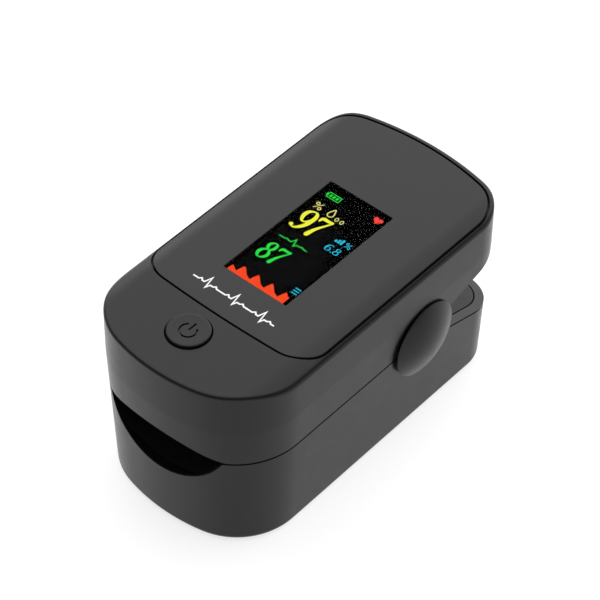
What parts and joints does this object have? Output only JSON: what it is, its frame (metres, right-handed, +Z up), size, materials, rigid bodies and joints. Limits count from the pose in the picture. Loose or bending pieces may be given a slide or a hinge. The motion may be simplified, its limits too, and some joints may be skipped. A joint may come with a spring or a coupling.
{
  "type": "fingertip pulse oximeter",
  "caption": "Fingertip pulse oximeter: a sprung clip of two hinged jaws with a finger channel, colour display, power button and sliding battery door.",
  "frame": {"origin": "on the resting face, under the middle of the closed jaws", "axes": "+Z up, +Y from the finger mouth towards the hinge end, +X to the right seen from the finger mouth"},
  "size_m": [0.0352, 0.0584, 0.0306],
  "materials": {
    "shell_plastic": "satin moulded ABS, very fine texture",
    "panel_plastic": "smooth satin cover panel",
    "frame_plastic": "matte moulded ABS",
    "button_plastic": "satin",
    "silicone": "soft matte silicone",
    "clear_window": "clear tinted epoxy",
    "clear_lens": "clear hard-coated acrylic",
    "display_black": "black glass face of the display",
    "backlight_white": "white moulding with a steel back",
    "foam": "closed-cell foam",
    "flex_amber": "polyimide film",
    "circuit_board": "solder mask on glass fibre",
    "chip_black": "moulded epoxy",
    "connector_white": "moulded nylon",
    "led_package": "clear resin on a white package",
    "contact_metal": "nickel-plated spring steel",
    "spring_steel": "drawn spring wire",
    "screw_steel": "zinc-plated",
    "cell_jacket": "printed sleeve, plain two-tone"
  },
  "bodies": {
    "lower_jaw": {"battery_left": "cell_jacket", "battery_right": "cell_jacket", "contact_spring_front": "spring_steel", "contact_spring_rear": "spring_steel", "front_contact_left": "contact_metal", "front_contact_right": "contact_metal", "hinge_cap_left": "shell_plastic", "hinge_cap_right": "shell_plastic", "hinge_flex": "flex_amber", "hinge_pin_left": "screw_steel", "hinge_pin_right": "screw_steel", "lower_finger_pad": "silicone", "lower_frame": "frame_plastic", "lower_screws": "screw_steel", "lower_shell": "shell_plastic", "photodiode": "chip_black", "rear_contact": "contact_metal", "sensor_board": "circuit_board", "sensor_window": "clear_window", "torsion_spring_left": "spring_steel", "torsion_spring_right": "spring_steel"},
    "upper_jaw": {"upper_shell": "shell_plastic", "top_panel": "panel_plastic", "display_window": "clear_lens", "display_glass": "display_black", "display_backlight": "backlight_white", "display_gasket": "foam", "display_ribbon": "flex_amber", "ribbon_connector": "connector_white", "main_board": "circuit_board", "microcontroller": "chip_black", "amplifier_chip": "chip_black", "switch_body": "contact_metal", "upper_frame": "frame_plastic", "upper_finger_pad": "silicone", "emitter_window": "clear_window", "emitter_led": "led_package", "emitter_board": "circuit_board", "upper_screws": "screw_steel"},
    "power_button": {"power_button": "button_plastic", "switch_plunger": "button_plastic"},
    "battery_door": {"battery_door": "shell_plastic"}
  },
  "joints": [
    {"name": "jaw_hinge", "type": "hinge", "parent": "lower_jaw", "child": "upper_jaw", "pos_m": [0, 0.009, 0.0168], "axis": [-1, 0, 0], "range_deg": [0, 28], "stiffness_Nm_per_rad": 0.06, "springref_deg": -45.84, "deforming": ["torsion_spring_left", "torsion_spring_right", "hinge_flex"]},
    {"name": "button_press", "type": "slide", "parent": "upper_jaw", "child": "power_button", "axis": [0, 0, -1], "range_m": [0, 0.0004], "stiffness_N_per_m": 800, "springref_m": -0.0004},
    {"name": "door_slide", "type": "slide", "parent": "lower_jaw", "child": "battery_door", "axis": [0, 1, 0], "range_m": [0, 0.024]}
  ]
}
